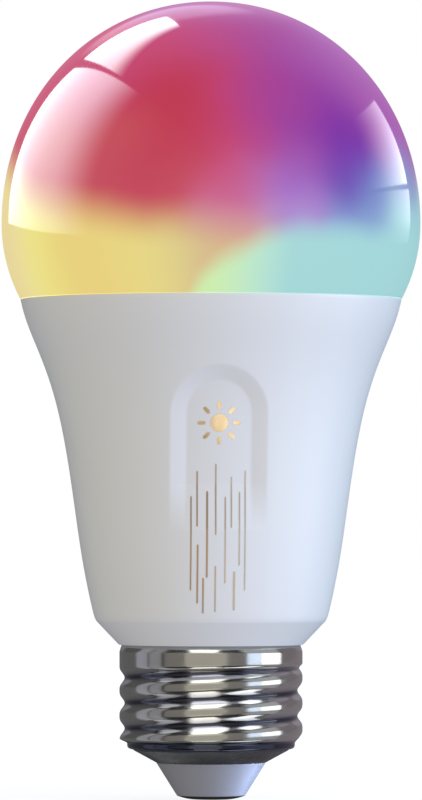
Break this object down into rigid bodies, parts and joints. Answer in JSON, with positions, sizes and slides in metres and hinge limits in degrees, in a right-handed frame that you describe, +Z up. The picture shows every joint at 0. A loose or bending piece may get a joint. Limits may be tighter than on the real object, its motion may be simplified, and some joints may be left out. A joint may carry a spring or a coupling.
{
  "type": "smart light bulb",
  "caption": "Smart LED light bulb: coloured glossy diffuser, white tapered housing with an arched panel, gold inlays, and a nickel screw base.",
  "frame": {"origin": "bottom of the centre contact, on the bulb's axis", "axes": "+Z up the axis from the contact to the top of the diffuser; -Y out of the decorated panel; +X to the right as the panel is seen"},
  "size_m": [0.06, 0.06, 0.1142],
  "materials": {
    "diffuser": "opal polycarbonate, glossy, lit from inside in soft patches of colour",
    "silicone": "white silicone sealant, satin",
    "housing_white": "white flame-retardant plastic, fine satin",
    "gold_inlay": "thin gold foil, satin metal",
    "nickel_shell": "bright nickel plate over brass, drawn and rolled",
    "black_insulator": "black glass-filled insulator, glossy",
    "cone_plastic": "pale bluish white moulded insulator, satin",
    "contact_metal": "tin-plated contact, dull metal",
    "aluminium_cup": "drawn aluminium, mill finish",
    "thermal_silicone": "thermal interface pad, matt",
    "led_board_white": "white solder mask over an aluminium board",
    "screw_steel": "zinc-plated steel",
    "connector_nylon": "natural nylon",
    "led_package": "white reflector resin",
    "phosphor_cool": "cool white phosphor in clear silicone",
    "phosphor_warm": "warm white phosphor in clear silicone",
    "clear_lens": "clear silicone over three small colour emitters",
    "board_blue": "blue solder mask over glass epoxy",
    "shield_steel": "tin-plated steel can",
    "gold_plate": "gold-plated contact metal",
    "sleeve_plastic": "ivory insulating plastic",
    "board_green": "green solder mask over glass epoxy",
    "ferrite": "dark sintered ferrite",
    "bobbin_phenolic": "dark brown phenolic",
    "winding_tape": "yellow polyester tape over wire",
    "capacitor_sleeve": "dark shrink sleeve over an aluminium can",
    "film_capacitor_epoxy": "yellow boxed film capacitor",
    "copper_wire": "enamelled copper wire",
    "chip_epoxy": "black epoxy package with tinned leads",
    "resistor_ceramic": "blue-grey lacquered resistor",
    "varistor_epoxy": "blue epoxy-coated disc",
    "chip_black": "chip resistor with tinned ends",
    "chip_tan": "chip capacitor with tinned ends",
    "wire_red": "red insulated wire",
    "wire_white": "white insulated wire"
  },
  "bodies": {
    "root": {"diffuser_dome": "diffuser", "dome_sealant": "silicone", "housing": "housing_white", "emblem": "gold_inlay", "accent_lines": "gold_inlay", "screw_shell": "nickel_shell", "insulator_ring": "black_insulator", "insulator_cone": "cone_plastic", "center_contact": "contact_metal", "heat_sink": "aluminium_cup", "thermal_pad": "thermal_silicone", "led_board": "led_board_white", "board_screws": "screw_steel", "board_connector": "connector_nylon", "cool_leds": "led_package", "cool_phosphor": "phosphor_cool", "warm_leds": "led_package", "warm_phosphor": "phosphor_warm", "color_leds": "led_package", "color_lenses": "clear_lens", "radio_board": "board_blue", "radio_shield": "shield_steel", "radio_antenna": "gold_plate", "radio_pins": "gold_plate", "driver_sleeve": "sleeve_plastic", "driver_board": "board_green", "pin_header": "gold_plate", "transformer_core": "ferrite", "transformer_bobbin": "bobbin_phenolic", "transformer_winding": "winding_tape", "bulk_capacitor": "capacitor_sleeve", "output_capacitor": "capacitor_sleeve", "film_capacitor": "film_capacitor_epoxy", "choke_core": "ferrite", "choke_winding": "copper_wire", "bridge_rectifier": "chip_epoxy", "fusible_resistor": "resistor_ceramic", "varistor": "varistor_epoxy", "driver_chip": "chip_epoxy", "dimmer_chip": "chip_epoxy", "chip_resistors": "chip_black", "chip_capacitors": "chip_tan", "live_lead": "wire_red", "neutral_lead": "wire_white"}
  },
  "joints": []
}
